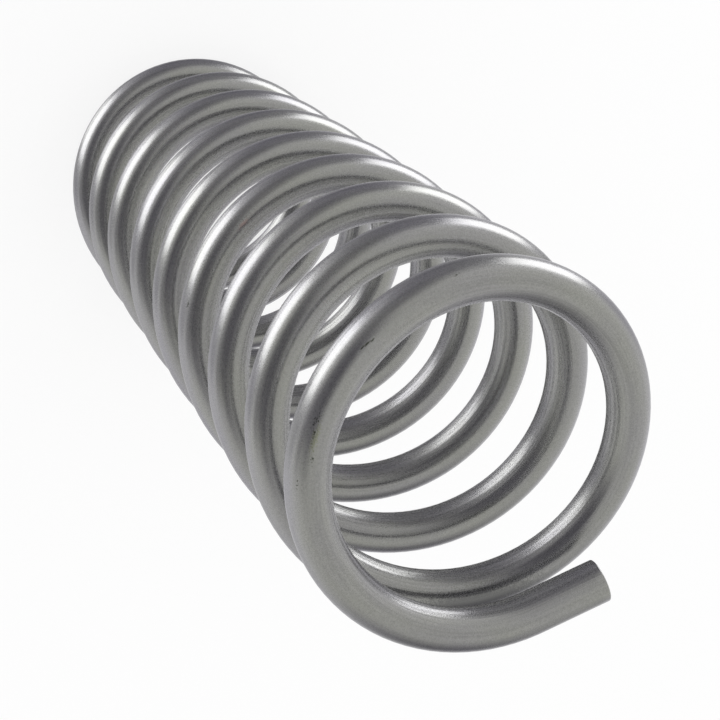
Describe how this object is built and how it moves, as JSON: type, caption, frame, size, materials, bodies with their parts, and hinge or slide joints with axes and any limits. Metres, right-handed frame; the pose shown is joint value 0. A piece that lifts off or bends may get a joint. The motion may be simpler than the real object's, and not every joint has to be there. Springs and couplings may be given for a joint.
{
  "type": "helical spring",
  "caption": "Helical compression spring of round steel wire, wound right-handed, with flattened end turns and straight sheared wire ends.",
  "frame": {"origin": "the point where the coil axis meets the plane that the lower end turn stands on", "axes": "+Z along the coil axis from the lower end to the upper end, +X from the axis to the tip of the lower straight leg, +Y completing a right-handed frame"},
  "size_m": [0.1103, 0.1095, 0.3541],
  "materials": {
    "steel_wire": "bare drawn spring steel, satin grey, with fine draw marks along the wire and a few small tool marks"
  },
  "bodies": {
    "root": {"helical_spring": "steel_wire"}
  },
  "joints": []
}
